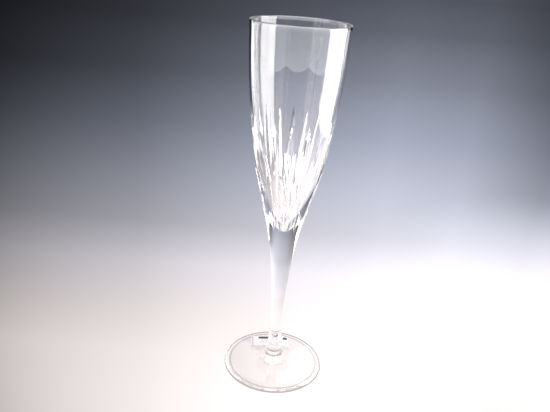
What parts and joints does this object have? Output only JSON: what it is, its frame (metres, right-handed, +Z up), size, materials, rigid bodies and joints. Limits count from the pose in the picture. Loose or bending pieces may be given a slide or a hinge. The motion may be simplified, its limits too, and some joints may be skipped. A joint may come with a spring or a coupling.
{
  "type": "champagne flute",
  "caption": "Tall clear crystal champagne flute: slender bowl with staggered pointed V-cuts, drawn stem, round foot, and a small plain paper sticker on the foot.",
  "frame": {"origin": "centre of the circle that the foot rests on, at table height", "axes": "+Z up along the stem's axis, +X to the right and +Y to the back; the label is on the back of the foot"},
  "size_m": [0.076, 0.076, 0.265],
  "materials": {
    "crystal": "polished",
    "label_paper": "matte"
  },
  "bodies": {
    "root": {"foot": "crystal", "stem": "crystal", "bowl": "crystal", "foot_label": "label_paper"}
  },
  "joints": []
}
